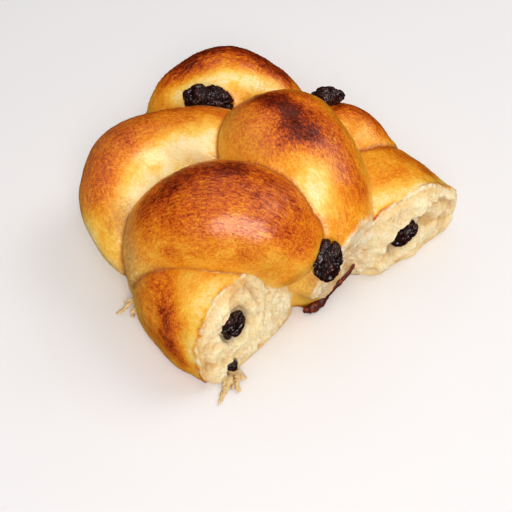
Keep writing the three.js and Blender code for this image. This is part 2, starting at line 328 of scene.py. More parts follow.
def capped_faces(rings, sides, first=0):
    """The same faces, and a flat one over each end."""
    last = first + (rings - 1) * sides
    caps = [tuple(range(first, first + sides))[::-1], tuple(range(last, last + sides))]
    return ring_faces(rings, sides, first) + caps


class Strand:
    """One strand of dough: rows of its centre line, its frame and its half sizes."""

    def __init__(self, name, torn, reach, stations):
        stations = np.array(stations, float)
        self.name = name
        self.torn = torn
        rough = curve_at(stations[:, :3], np.linspace(0, 1, ROUGH_STEPS))
        length = np.linalg.norm(np.diff(rough, axis=0), axis=1).sum()
        t = np.linspace(0, 1, math.ceil(length / RING_STEP) + 1)
        self.centre = curve_at(stations[:, :3], t)
        self.half = curve_at(stations[:, 3:], t)
        ahead = curve_at(stations[:, :3], np.minimum(t + NEARBY, 1))
        behind = curve_at(stations[:, :3], np.maximum(t - NEARBY, 0))
        self.tangent = unit(ahead - behind)

        # The sideways axis is carried along the strand without twisting.
        carried = np.cross(self.tangent[0], (0, 0, 1))
        sides = []
        for tangent in self.tangent:
            carried = unit(carried - tangent * (carried @ tangent))
            sides.append(carried)
        self.side = np.array(sides)
        self.rise = np.cross(self.side, self.tangent)

        steps = np.linalg.norm(np.diff(self.centre, axis=0), axis=1)
        self.along = np.concatenate([[0], np.cumsum(steps)])
        self.start_reach = reach or DOME_SHARE * self.half[0].min()
        self.end_reach = CRUST_EDGE if torn else DOME_SHARE * self.half[-1].min()

    def tube(self):
        """A closed tube: its points and faces."""
        # Each ring: its row, how far past that row it is, and its share of the half sizes.
        angles = (np.arange(DOME_RINGS) + 1) / (DOME_RINGS + 1) * math.pi / 2
        rows = [(0, -self.start_reach * math.cos(a), math.sin(a)) for a in angles]
        rows += [(i, 0, 1) for i in range(len(self.centre))]
        last = len(self.centre) - 1
        rows += [(last, self.end_reach * math.cos(a), math.sin(a)) for a in angles[::-1]]
        turn = np.arange(SIDES) / SIDES * 2 * math.pi
        across = np.sign(np.cos(turn)) * np.abs(np.cos(turn)) ** (2 / SQUARENESS)
        up = np.sign(np.sin(turn)) * np.abs(np.sin(turn)) ** (2 / SQUARENESS)
        points = [
            self.centre[i] + self.tangent[i] * out
            + np.outer(across * self.half[i, 0] * share, self.side[i])
            + np.outer(up * self.half[i, 1] * share, self.rise[i])
            for i, out, share in rows]
        points.append([self.centre[0] - self.tangent[0] * self.start_reach])
        points.append([self.centre[-1] + self.tangent[-1] * self.end_reach])
        faces = ring_faces(len(rows), SIDES)
        poles = len(rows) * SIDES
        end = poles - SIDES
        for j in range(SIDES):
            after = (j + 1) % SIDES
            faces.append((poles, after, j))
            faces.append((poles + 1, end + j, end + after))
        points = np.vstack(points)
        if self.name in TEARS:
            plane = TEARS[self.name]
            excess = np.maximum(past_plane(points, plane), 0)
            points -= np.outer(excess, unit(np.array(plane[1], float)))
        return points, faces

    def locate(self, points):
        """For each point: mm along the strand, angle from its crest, and mm outside its surface."""
        gap = (points**2).sum(1)[:, None] + (self.centre**2).sum(1) - 2 * points @ self.centre.T
        row = gap.argmin(1)
        off = points - self.centre[row]
        axial = (off * self.tangent[row]).sum(1)
        across = (off * self.side[row]).sum(1)
        up = (off * self.rise[row]).sum(1)
        half = self.half[row]
        spread = section_sum(across / half[:, 0], up / half[:, 1]) ** (1 / SQUARENESS)
        before = np.where(row == 0, np.minimum(axial, 0) / self.start_reach, 0)
        after = np.where(row == len(self.centre) - 1, np.maximum(axial, 0) / self.end_reach, 0)
        radius = np.sqrt(spread**2 + before**2 + after**2)
        return self.along[row] + axial, np.arctan2(across, up), (radius - 1) * half.min(1)


strands = {s[0]: Strand(*s) for s in STRANDS}


def block(share, height):
    """Dough under the strands: the base outline drawn in to a share, and raised to a height."""
    outline = BASE_MIDDLE + (np.array(BASE_OUTLINE, float) - BASE_MIDDLE) * share
    count = len(outline)
    lower = np.c_[outline, np.zeros(count)]
    upper = np.c_[outline, np.full(count, float(height))]
    faces = [tuple(range(count))[::-1], tuple(range(count, 2 * count))]
    faces += [(i, (i + 1) % count, (i + 1) % count + count, i + count) for i in range(count)]
    return np.vstack([lower, upper]), faces


def union(shapes, wants_detail):
    """One closed mesh round several overlapping ones, level at the base and finer where wanted."""
    points, faces, count = [], [], 0
    for shape_points, shape_faces in shapes:
        points.append(shape_points)
        faces += [tuple(i + count for i in face) for face in shape_faces]
        count += len(shape_points)
    points = np.vstack(points)
    points[:, 2] = np.maximum(points[:, 2], 0)
    mesh = bpy.data.meshes.new("dough")
    mesh.from_pydata(points.tolist(), [], faces)
    rough = new_object("dough", mesh)
    remesh = rough.modifiers.new("join", "REMESH")
    remesh.mode = "VOXEL"
    remesh.voxel_size = VOXEL
    graph = bpy.context.evaluated_depsgraph_get()
    made = bpy.data.meshes.new_from_object(rough.evaluated_get(graph))
    bpy.data.objects.remove(rough)
    wanted = wants_detail(points_of(made))
    fine = bmesh.new()
    fine.from_mesh(made)
    fine.verts.ensure_lookup_table()
    split = [edge for edge in fine.edges if all(wanted[vert.index] for vert in edge.verts)]
    bmesh.ops.subdivide_edges(fine, edges=split, cuts=1, use_grid_fill=True)
    fine.to_mesh(made)
    fine.free()
    return made


def new_object(name, data):
    made = bpy.data.objects.new(name, data)
    bpy.context.scene.collection.objects.link(made)
    return made


def closed_mesh(name, points, faces):
    """A closed mesh, with every face turned outwards."""
    mesh = bpy.data.meshes.new(name)
    mesh.from_pydata(np.asarray(points).tolist(), [], faces)
    shell = bmesh.new()
    shell.from_mesh(mesh)
    bmesh.ops.recalc_face_normals(shell, faces=shell.faces)
    shell.to_mesh(mesh)
    shell.free()
    return mesh


def points_of(mesh):
    points = np.empty(len(mesh.vertices) * 3, np.float32)
    mesh.vertices.foreach_get("co", points)
    return points.reshape(-1, 3).astype(float)


def normals_of(mesh):
    normals = np.empty(len(mesh.vertices) * 3, np.float32)
    mesh.vertex_normals.foreach_get("vector", normals)
    return normals.reshape(-1, 3).astype(float)


def set_points(mesh, points):
    mesh.vertices.foreach_set("co", points.astype(np.float32).ravel())
    mesh.update()


def edges_of(mesh):
    edges = np.empty(len(mesh.edges) * 2, np.int32)
    mesh.edges.foreach_get("vertices", edges)
    return edges.reshape(-1, 2)


def relaxed(values, edges, rounds):
    """Each vertex's value averaged with its neighbours', a few times over."""
    count = np.bincount(edges.ravel(), minlength=len(values))
    for _ in range(rounds):
        total = np.zeros_like(values)
        np.add.at(total, edges[:, 0], values[edges[:, 1]])
        np.add.at(total, edges[:, 1], values[edges[:, 0]])
        mean = total / (count[:, None] if values.ndim > 1 else count)
        values = (values + mean) / 2
    return values


def store(mesh, name, values):
    """Keeps a number or a vector at each vertex, for the materials to read."""
    kind, field = ("FLOAT_VECTOR", "vector") if values.ndim > 1 else ("FLOAT", "value")
    layer = mesh.attributes.new(name, kind, "POINT")
    layer.data.foreach_set(field, values.astype(np.float32).ravel())


def placement():
    """From the strands' axes, in mm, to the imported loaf's, in metres."""
    points = np.vstack([s.tube()[0] for s in strands.values()])
    points = points[points[:, 2] > 0]
    middle = (points.min(0) + points.max(0)) / 2
    low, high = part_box("loaf")
    target = (low + high) / 2
    return np.array([target.x - middle[0] * MM, target.y - middle[1] * MM, low.z])


SHIFT = placement()


def pulled(points):
    """The points moved by the slow pulls, which all pieces share. The base stays flat."""
    move = sum(
        np.outer(bell(np.linalg.norm(points - at, axis=1), width), pull)
        for pull, width, at in PULLS)
    move[:, 2] *= smoothstep(0, 6, points[:, 2])
    return points + move


def add_piece(name, mesh, material, stands_for=None):
    """Puts a mesh that is in mm into the scene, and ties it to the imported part."""
    set_points(mesh, pulled(points_of(mesh)) * MM + SHIFT)
    mesh.name = name
    mesh.shade_smooth()
    mesh.materials.clear()
    mesh.materials.append(material)
    piece = new_object(name, mesh)
    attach(piece, "root")
    if stands_for:
        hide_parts(stands_for)


# ---- materials


def srgb(*levels):
    """An sRGB colour, 0 to 255, as linear RGBA."""
    linear = [
        level / 255 / 12.92 if level <= 10 else ((level / 255 + 0.055) / 1.055) ** 2.4
        for level in levels]
    return (*linear, 1)


class Nodes:
    """A material's node tree, with short calls to add and join nodes."""

    def __init__(self, name):
        self.material = bpy.data.materials.new(name)
        self.material.use_nodes = True
        self.tree = self.material.node_tree
        self.shader = self.tree.nodes["Principled BSDF"]

    def add(self, kind, inputs=None, **settings):
        node = self.tree.nodes.new("ShaderNode" + kind)
        for key, value in settings.items():
            setattr(node, key, value)
        for key, value in (inputs or {}).items():
            self.put(node.inputs[key], value)
        return node

    def put(self, socket, value):
        if isinstance(value, bpy.types.NodeSocket):
            self.tree.links.new(value, socket)
        else:
            socket.default_value = value

    def attribute(self, name, output="Fac"):
        return self.add("Attribute", attribute_name=name).outputs[output]

    def math(self, operation, a, b=0.0, clamp=False):
        return self.add("Math", {0: a, 1: b}, operation=operation, use_clamp=clamp).outputs[0]

    def times(self, a, b):
        return self.math("MULTIPLY", a, b)

    def total(self, value, *others, clamp=False):
        for other in others[:-1]:
            value = self.math("ADD", value, other)
        return self.math("ADD", value, others[-1], clamp)

    def noise(self, vector, scale, detail, roughness, distortion=0.0):
        values = {
            "Vector": vector, "Scale": scale, "Detail": detail, "Roughness": roughness,
            "Distortion": distortion}
        return self.add("TexNoise", values).outputs["Fac"]

    def stretch(self, vector, scale):
        return self.add("Mapping", {"Vector": vector, "Scale": scale}).outputs["Vector"]

    def place(self):
        """Where the shaded point is on the object, in metres."""
        return self.add("TexCoord").outputs["Object"]

    def ramp(self, value, stops):
        node = self.add("ValToRGB", {"Fac": value})
        elements = node.color_ramp.elements
        while len(elements) < len(stops):
            elements.new(0.5)
        for element, (place, colour) in zip(elements, stops):
            element.position = place
            element.color = colour
        return node.outputs["Color"]

    def mix(self, share, a, b, blend="MIX"):
        # The Mix node has sockets for each type of data, and these numbers are the colours'.
        node = self.add("Mix", data_type="RGBA", blend_type=blend)
        self.put(node.inputs[0], share)
        self.put(node.inputs[6], a)
        self.put(node.inputs[7], b)
        return node.outputs[2]

    def between(self, value, low, high, to_low, to_high):
        values = {"Value": value, "From Min": low, "From Max": high, "To Min": to_low, "To Max": to_high}
        return self.add("MapRange", values).outputs["Result"]

    def bump(self, height, distance, strength):
        values = {"Height": height, "Distance": distance, "Strength": strength}
        return self.add("Bump", values).outputs["Normal"]

    def surface(self, **sockets):
        for key, value in sockets.items():
            self.put(self.shader.inputs[key.replace("_", " ")], value)


# The crust's colour, from pale dough to nearly burnt, and how brown the underside is on that scale.
BAKE_STOPS = [
    (0.00, srgb(255, 234, 182)), (0.22, srgb(252, 202, 84)), (0.45, srgb(240, 154, 22)),
    (0.65, srgb(212, 100, 8)), (0.82, srgb(160, 57, 4)), (1.00, srgb(92, 24, 4))]
UNDERSIDE_BAKE = 0.86


def crumb_colour(n, place):
    """The open crumb's colour and bump height, for the torn ends and the torn sides."""
    broad = n.noise(place, 0.22, 3, 0.6)
    fine = n.noise(place, 1.0, 3, 0.65)
    cream = n.mix(n.between(broad, 0.35, 0.65, 0, 1), srgb(247, 230, 190), srgb(255, 247, 224))
    cream = n.mix(n.between(fine, 0.42, 0.68, 0, 0.5), cream, srgb(236, 200, 136))
    return cream, n.total(n.times(broad, 0.8), n.times(fine, 0.8))


def crust_material():
    """Egg-washed crust: browned to its baked level, with a few paler painted highlights, mottled and
    finely wrinkled along the strand.
    """
    n = Nodes("crust")
    flow = n.attribute("flow", "Vector")
    bake_and_highlight = n.attribute("bake_and_highlight")
    torn = n.attribute("crumb")
    broad = n.noise(flow, 0.16, 3, 0.55)
    mottle = n.noise(flow, 0.9, 3, 0.65)
    speck = n.noise(flow, 2.0, 2, 0.6)
    streak = n.noise(n.stretch(flow, (0.35, 1.3, 1)), 1.0, 4, 0.65, 0.3)
    rough_brown = n.between(bake_and_highlight, 0.35, 0.8, 0.5, 1.0)
    spots = n.total(
        n.between(mottle, 0.25, 0.75, -0.2, 0.2), n.between(speck, 0.3, 0.7, -0.16, 0.16),
        n.between(streak, 0.3, 0.7, -0.07, 0.07))
    broad = n.between(broad, 0.3, 0.7, -0.07, 0.07)
    level = n.total(bake_and_highlight, broad, n.times(spots, rough_brown), clamp=True)
    wisp = n.noise(n.stretch(flow, (0.3, 1.0, 1)), 1.1, 3, 0.6, 0.6)
    wisp = n.between(n.math("ABSOLUTE", n.math("SUBTRACT", wisp, 0.5)), 0.0, 0.025, 0.13, 0.0)
    wisp = n.times(wisp, n.between(bake_and_highlight, 0.5, 0.75, 0, 1))
    level = n.math("SUBTRACT", level, wisp, clamp=True)
    brown = n.ramp(level, BAKE_STOPS)
    brown = n.mix(n.times(n.attribute("seam"), 0.7), brown, srgb(168, 72, 10))
    dust = n.times(n.attribute("dusty"), n.between(mottle, 0.35, 0.6, 0.25, 0.8))
    brown = n.mix(dust, brown, srgb(184, 134, 88))
    place = n.stretch(n.place(), TO_MM)
    pale, pale_height = crumb_colour(n, place)
    golden = n.between(n.noise(place, 0.14, 3, 0.6), 0.42, 0.62, 0, 0.75)
    pale = n.mix(golden, pale, srgb(230, 172, 92))
    colour = n.mix(torn, brown, pale)
    dullness = n.math("MAXIMUM", torn, n.attribute("dusty"))
    gloss = n.between(streak, 0.3, 0.7, 0.34, 0.5)
    roughness = n.total(gloss, n.times(dullness, 0.35), clamp=True)
    height = n.total(n.times(mottle, 0.5), n.times(streak, 0.9), n.times(speck, 0.5))
    height = n.total(n.times(height, rough_brown), n.times(pale_height, torn))
    n.surface(
        Base_Color=colour, Roughness=roughness, Normal=n.bump(height, 0.6 * MM, 0.8),
        Coat_Weight=0.85, Coat_Roughness=0.3, Coat_Normal=n.bump(height, 0.6 * MM, 0.3),
        Subsurface_Weight=0.1, Subsurface_Radius=(1.0, 0.45, 0.2), Subsurface_Scale=2 * MM,
        Specular_IOR_Level=0.15)
    return n.material


def crumb_material():
    """Soft open crumb: cream, a little yellower by the crust, with painted light on its ridges and
    painted shade in its hollows, pores and folds, and quite dull.
    """
    n = Nodes("crumb")
    cream, height = crumb_colour(n, n.stretch(n.place(), TO_MM))
    # Painted light and shade: the ridges are painted lighter and the hollows darker, as light falls on
    # them.
    ridge_light_and_hollow_shade = n.ramp(n.attribute("ridge"), [
        (0.0, srgb(218, 178, 120)), (0.45, srgb(250, 234, 206)), (1.0, srgb(255, 251, 238))])
    colour = n.mix(0.75, cream, ridge_light_and_hollow_shade, "MULTIPLY")
    # Painted shade in the pores and in the folds of the torn crumb.
    colour = n.mix(n.attribute("pit"), colour, srgb(198, 146, 84))
    colour = n.mix(n.times(n.attribute("edge"), 0.3), colour, srgb(238, 186, 100))
    colour = n.mix(n.attribute("stain"), colour, srgb(128, 60, 24))
    n.surface(
        Base_Color=colour, Roughness=0.85, Normal=n.bump(height, 1.1 * MM, 0.7),
        Subsurface_Weight=0.25, Subsurface_Radius=(1.0, 0.6, 0.3), Subsurface_Scale=3 * MM,
        Specular_IOR_Level=0.15)
    return n.material


def raisin_material():
    """Sticky dark skin, redder on the crests and nearly black in the folds."""
    n = Nodes("raisin_skin")
    place = n.place()
    broad = n.noise(place, 260, 3, 0.6)
    fine = n.noise(place, 1400, 3, 0.6)
    dark = n.mix(n.between(broad, 0.35, 0.65, 0, 1), srgb(18, 2, 3), srgb(38, 7, 6))
    red = n.times(n.attribute("crest"), n.between(fine, 0.4, 0.7, 0, 0.8))
    colour = n.mix(red, dark, srgb(108, 28, 22))
    n.surface(
        Base_Color=colour, Roughness=0.6, Normal=n.bump(fine, 0.4 * MM, 0.6),
        Specular_IOR_Level=0.2, Coat_Weight=0.8, Coat_Roughness=0.17)
    return n.material


def lip_material():
    """The bottom crust's edge, nearly burnt."""
    n = Nodes("base_lip")
    broad = n.noise(n.place(), 350, 3, 0.6)
    colour = n.ramp(broad, [
        (0.35, srgb(70, 20, 6)), (0.55, srgb(116, 40, 8)), (0.75, srgb(186, 96, 26))])
    n.surface(Base_Color=colour, Roughness=0.55, Normal=n.bump(broad, 0.5 * MM, 0.6))
    return n.material


# ---- crust


def raisin_frame(at, along, out):
    """A raisin's centre and its axes: along, across and out."""
    x = unit(np.array(along, float))
    y = unit(np.cross(np.array(out, float), x))
    return np.array(at, float), np.array([x, y, np.cross(x, y)])


def raisin_depth(points, at, along, out, half):
    """How far each point is from a raisin's middle, in its half sizes: 1 is on its skin."""
    centre, axes = raisin_frame(at, along, out)
    return np.linalg.norm((points - centre) @ axes.T / np.array(half), axis=1)


def strand_map(points):
    """Each point's strand, mm along it, angle from its crest, mm to the next strand, and mm outside."""
    found = [s.locate(points) for s in strands.values()]
    names = list(strands)
    pick = np.arange(len(points))
    outside = np.array([f[2] for f in found])
    own = outside.argmin(0)
    height = outside[own, pick]
    for inner, host in INNER.items():
        own[own == names.index(inner)] = names.index(host)
    others = outside.copy()
    others[own, pick] = np.inf
    others[[names.index(inner) for inner in INNER]] = np.inf
    along = np.array([f[0] for f in found])[own, pick]
    angle = np.array([f[1] for f in found])[own, pick]
    return own, along, angle, np.maximum(others.min(0), 0), height


def bake_and_highlight_level(points, normals, own, crease, past):
    """How brown the crust is, from 0, pale dough, to 1, nearly burnt, with a few painted highlights as
    paler spots.
    """
    up = smoothstep(0.0, 0.95, normals[:, 2]) * smoothstep(8, 42, points[:, 2])
    level = 0.27 + 0.26 * up

    # Paler beside a seam, and browner all round the bottom edge.
    level -= 0.05 * bell(crease, 4)
    level += 0.22 * bell(points[:, 2], 2.5)

    ragged = noise_at(points, 7, seed=3) + 0.5 * noise_at(points, 2.4, seed=5)
    # Browning from the table, strand by strand, and the painted highlights in it, which are paler.
    for number, name in enumerate(strands):
        for amount, width, line in BROWNING_AND_HIGHLIGHTS.get(name, []):
            away = nearest_on_line(points, line) + ragged * width * 0.4
            level += (own == number) * amount * bell(away, width)

    # Paler towards a torn end, with a broken brown line along the tear itself.
    level -= 0.07 * bell(past + 1, 5)
    level += 0.5 * bell(past + 1.1, 0.6) * smoothstep(-0.35, 0.1, noise_at(points, 8, seed=15))

    under = smoothstep(-0.6, -0.9, normals[:, 2]) * smoothstep(3, 1, points[:, 2])
    return np.clip(level * (1 - under) + UNDERSIDE_BAKE * under, 0, 1)


def torn_edge(points, own):
    """How far each point is past the wavering edge of its strand's torn end."""
    wander = 1.1 * noise_at(points, 7, seed=13) + 0.7 * noise_at(points, 2.5, seed=14)
    past = np.full(len(points), -FAR)
    for number, s in enumerate(strands.values()):
        if s.torn:
            end = past_plane(points, (s.centre[-1], s.tangent[-1]))
            past = np.where(own == number, end + wander, past)
    return past


def torn_share(points, own):
    """Where torn crumb shows on the crust's own mesh: past the torn ends and on the torn sides."""
    share = smoothstep(-1.0, -0.5, torn_edge(points, own))
    for number, s in enumerate(strands.values()):
        if s.name in TEARS:
            past = past_plane(points, TEARS[s.name]) + 0.8 * noise_at(points, 4, seed=16)
            share = np.maximum(share, (own == number) * smoothstep(-1.3, -0.6, past))
    return share


def wants_detail(points):
    """Whether each point is near a seam, or on torn crumb above the base."""
    own, _, _, crease, _ = strand_map(points)
    return (crease < SEAM_REACH) | (torn_share(points, own) > 0) & (points[:, 2] > 1)


def crust_mesh():
    """The loaf's outside: its strands joined, then given seams, lumps, wrinkles and torn sides."""
    mesh = union([s.tube() for s in strands.values()] + [block(*f) for f in FILLINGS], wants_detail)
    edges = edges_of(mesh)
    points = points_of(mesh)
    flat = points[:, 2] < VOXEL * 0.6
    set_points(mesh, relaxed(points, edges, 2))
    points = points_of(mesh)
    own, along, angle, crease, height = strand_map(points)
    torn = torn_share(points, own)

    # Smoothing rounds off the seams, so the mesh is pulled back onto the strands.
    settle = np.where(np.abs(height) < 0.9, height, 0) * (1 - torn) * ~flat
    set_points(mesh, points - normals_of(mesh) * settle[:, None])
    points = points_of(mesh)

    # The strands in the heart of the loaf only fill it, so their edges are smoothed away.
    inner = np.min([strands[name].locate(points)[2] for name in INNER], axis=0)
    soft = smoothstep(5, 1, inner) * smoothstep(1.5, 4, crease) * (1 - torn) * ~flat
    points += (relaxed(points, edges, 40) - points) * soft[:, None]
    set_points(mesh, points)
    normals = normals_of(mesh)

    # Slow lumps, wrinkles that run along the strand, and a seam pressed in where strands meet.
    flow = np.c_[along, angle * WRINKLE_SPREAD, own * STRAND_GAP]
    wrinkle = noise_at(flow / (3.2, 1.0, 1.0), 2.2, seed=4)
    bake_and_highlight = bake_and_highlight_level(points, normals, own, crease, torn_edge(points, own))
    push = 0.45 * noise_at(points, 20, seed=1) + 0.16 * noise_at(points, 6, seed=2)
    push += 0.13 * wrinkle * smoothstep(0.35, 0.7, bake_and_highlight)
    push -= 0.55 * bell(crease, 0.8)

    # Where it is torn the surface is open crumb, and the dough sinks in a little round each raisin.
    crumb_lumps = 1.2 * noise_at(points, 8, seed=7) + 0.4 * noise_at(points, 2.6, seed=8)
    push += torn * (crumb_lumps - 0.2 - push)
    for raisin in RAISINS.values():
        push -= 0.8 * bell(raisin_depth(points, *raisin) - 0.95, 0.12)
    points = points + normals * push[:, None]
    points += (relaxed(points, edges, 3) - points) * bell(crease, 1.4)[:, None]
    points += ragged_ends(points, own)
    points[flat, 2] = 0
    points[:, 2] = np.maximum(points[:, 2], 0)
    set_points(mesh, points)

    store(mesh, "flow", flow)
    store(mesh, "bake_and_highlight", relaxed(bake_and_highlight, edges, 2))
    store(mesh, "crumb", relaxed(torn, edges, 1))
    store(mesh, "seam", bell(crease, 0.6))
    store(mesh, "dusty", strongest(points, DUSTY))
    return mesh


def ragged_ends(points, own):
    """Moves the crust's torn edges a little to and fro along their strands."""
    move = np.zeros_like(points)
    for number, s in enumerate(strands.values()):
        if s.torn:
            past = past_plane(points, (s.centre[-1], s.tangent[-1]))
            share = (own == number) * smoothstep(-4, -0.5, past)
            move += np.outer(share * (0.6 * noise_at(points, 5, seed=12) - 0.5), s.tangent[-1])
    return move


# ---- crumb


def pores(points, size, seed):
    """Depth of round pores, 0 to 1, scattered in cells of a size. Some cells have none."""
    depth = np.zeros(len(points))
    for i, p in enumerate(points):
        away, cells = noise.voronoi(Vector(p) / size + Vector((seed, seed, seed)))
        radius = 0.18 + 0.34 * noise.cell(cells[0] * 7.1)
        depth[i] = max(0.0, 1 - (away[0] / radius) ** 2)
    return depth


def torn_disc(strand, seed):
    """Points over a strand's torn end, each one's share of the way to their rim, and to the outline."""
    middle, side, rise = strand.centre[-1], strand.side[-1], strand.rise[-1]
    half = strand.half[-1] - CRUST_EDGE
    u, v = np.meshgrid(np.linspace(-1, 1, CRUMB_GRID), np.linspace(-1, 1, CRUMB_GRID))
    x, y = u * np.sqrt(1 - v**2 / 2), v * np.sqrt(1 - u**2 / 2)
    share, turn = np.hypot(x, y).ravel(), np.arctan2(y, x).ravel()
    cos, sin = np.cos(turn), np.sin(turn)
    reach = section_sum(cos / half[0], sin / half[1]) ** (-1 / SQUARENESS)
    ragged = noise_at(np.c_[cos, sin, np.zeros(len(cos))], 0.22, seed + 5)
    limit = reach - 0.9 * np.abs(ragged) * smoothstep(0.4, 1, share)

    # The grid also stops at the base, and at a torn side.
    drop = cos * side[2] + sin * rise[2]
    limit = np.minimum(limit, np.where(drop < -LEVEL, -middle[2] / np.minimum(drop, -LEVEL), FAR))
    if strand.name in TEARS:
        facing = unit(np.array(TEARS[strand.name][1], float))
        rate = cos * (side @ facing) + sin * (rise @ facing)
        room = -past_plane(middle[None], TEARS[strand.name])[0]
        limit = np.minimum(limit, np.where(rate > LEVEL, room / np.maximum(rate, LEVEL), FAR))

    face = middle + np.outer(share * limit * cos, side) + np.outer(share * limit * sin, rise)
    return face, share, share * limit / reach


def hollows_round_raisins(points):
    """How near each point is to a raisin in the crumb, 0 to 1, and how many mm it is sunk there."""
    hollow, sunk = np.zeros(len(points)), np.zeros(len(points))
    for name, (start, deepest, amount) in HOLLOWS.items():
        near = smoothstep(start, deepest, raisin_depth(points, *RAISINS[name]))
        hollow = np.maximum(hollow, near)
        sunk = np.maximum(sunk, amount * near)
    return hollow, sunk


def slab_faces():
    """Faces of a square grid, a wall round its rim and a back, and the rim's points in order."""
    count = CRUMB_GRID
    grid = np.arange(count * count).reshape(count, count)
    quads = np.stack([grid[:-1, :-1], grid[:-1, 1:], grid[1:, 1:], grid[1:, :-1]], -1).reshape(-1, 4)
    rim = np.concatenate([grid[0, :-1], grid[:-1, -1], grid[-1, :0:-1], grid[:0:-1, 0]])
    first, size = count * count, len(rim)
    faces = quads.tolist()
    for i in range(size):
        after = (i + 1) % size
        faces.append((rim[i], first + i, first + after, rim[after]))
    faces.append(tuple(range(first, first + size)))
    return faces, rim


def crumb_mesh(strand, seed):
    """The torn face of a strand: a closed slab, its front lumpy and open, its back inside the dough."""
    tangent = strand.tangent[-1]
    face, share, spread = torn_disc(strand, seed)
    bulge = TORN_REACH * np.sqrt(np.clip(1 - spread**2, 0, 1))
    proud = face + np.outer(bulge, tangent)

    tear = 1 - 2.2 * np.abs(noise_at(face / (1, 1, 1.7), 5.5, seed + 9, 2))
    lump = 1.8 * noise_at(face, 12, seed) + 0.5 * noise_at(face, 4, seed + 1)
    lump += 0.3 * noise_at(face, 1.4, seed + 2)
    lump += 0.7 * tear
    patches = noise_at(face, 14, seed + 3)
    small_patches = noise_at(face, 8, seed + 6)
    pit = 0.7 * pores(face, 4.2, seed) * smoothstep(0.1, 0.6, patches + 0.25)
    pit = np.maximum(pit, 0.6 * pores(face, 2.0, seed + 4) * smoothstep(-0.1, 0.4, small_patches))
    hollow, sunk = hollows_round_raisins(proud)
    folded = strongest(proud, FOLDS)
    rim = smoothstep(1.0, 0.9, share)
    out = 0.3 + bulge * 0.9 + rim * (lump * (1 - 0.7 * hollow) - 0.9 * pit - sunk - folded)
    if strand.name in TEARS:
        out -= 4 * smoothstep(6, 0, -past_plane(face, TEARS[strand.name])) ** 2

    faces, rim_points = slab_faces()
    back = face[rim_points] - tangent * CRUMB_DEPTH
    points = np.vstack([face + np.outer(out, tangent), back])
    points[:, 2] = np.maximum(points[:, 2], 0)
    mesh = closed_mesh("crumb", points, faces)

    def with_back(values, rest):
        return np.concatenate([values, np.full(len(back), rest)])

    front = points[:len(face)]
    low = smoothstep(3.5, 1.2, front[:, 2])
    stain = np.maximum(strongest(front, STAINS), 0.3 * bell(hollow - 0.6, 0.3))
    # For the material: painted shade in the pores and folds, and painted light on the ridges.
    store(mesh, "pit", with_back(np.maximum(pit, 0.25 * folded), 0.0))
    store(mesh, "edge", with_back(np.maximum(smoothstep(0.93, 1.0, share), low), 1.0))
    store(mesh, "ridge", with_back(smoothstep(-1.6, 1.8, lump), 0.5))
    store(mesh, "stain", with_back(stain, 0.0))
    return mesh


def shred_mesh():
    """Small torn strings of crumb that lie by the torn end and the left strand."""
    sides, steps = 10, 26
    points, faces = [], []
    for number, (root, tip, path) in enumerate(SHREDS):
        centre = curve_at(path, np.linspace(0, 1, steps))
        tangent = unit(np.gradient(centre, axis=0))
        side = unit(np.cross(tangent, (0, 0, 1)))
        rise = np.cross(side, tangent)
        faces += capped_faces(steps, sides, first=len(points))
        for i in range(steps):
            swell = 1 + 0.7 * noise.noise(Vector((i * 0.45, number * 3.7, 0)))
            radius = (root + (tip - root) * i / (steps - 1)) * swell
            if i == steps - 1:
                radius *= 0.35
            for j in range(sides):
                turn = j / sides * 2 * math.pi
                rough = radius * (1 + 0.45 * noise.noise(Vector((i * 0.6, j * 0.9, number * 5.1))))
                offset = side[i] * math.cos(turn) + rise[i] * math.sin(turn) * 0.7
                points.append(centre[i] + offset * rough)
    points = np.array(points)
    points[:, 2] = np.maximum(points[:, 2], 0.05)
    mesh = closed_mesh("shreds", points, faces)
    rough_share = np.array([noise.noise(Vector(p)) * 0.5 + 0.3 for p in points])
    store(mesh, "pit", np.clip(rough_share, 0, 1))
    store(mesh, "edge", np.full(len(points), 0.35))
    store(mesh, "ridge", np.full(len(points), 0.5))
    store(mesh, "stain", strongest(points, SHRED_STAINS))
    return mesh


def lip_mesh():
    """A thin curled strip along the edge of the bottom crust."""
    steps, sides = 90, 16
    path = np.array(BASE_LIP, float)
    t = np.linspace(0, 1, steps)
    centre = curve_at(path[:, :3], t)
    radius = np.interp(t, np.linspace(0, 1, len(path)), path[:, 3])
    tangent = unit(np.gradient(centre, axis=0))
    outward = unit(np.cross(tangent, (0, 0, 1)))
    up = np.array((0, 0, 1))
    points = []
    for i in range(steps):
        wide = radius[i] * (1 + 0.3 * noise.noise(Vector((i * 0.2, 0, 0))))
        if i in (0, steps - 1):
            wide *= 0.3
        for j in range(sides):
            turn = j / sides * 2 * math.pi
            offset = outward[i] * math.cos(turn) * wide * 0.7 + up * math.sin(turn) * wide
            rough = 1 + 0.25 * noise.noise(Vector((i * 0.35, j * 0.8, 2)))
            points.append(centre[i] + offset * rough)
    points = np.array(points)
    points[:, 2] = np.maximum(points[:, 2], 0)
    return closed_mesh("lip", points, capped_faces(steps, sides))


# ---- raisins

WARP_SEEDS = (31, 47, 59)


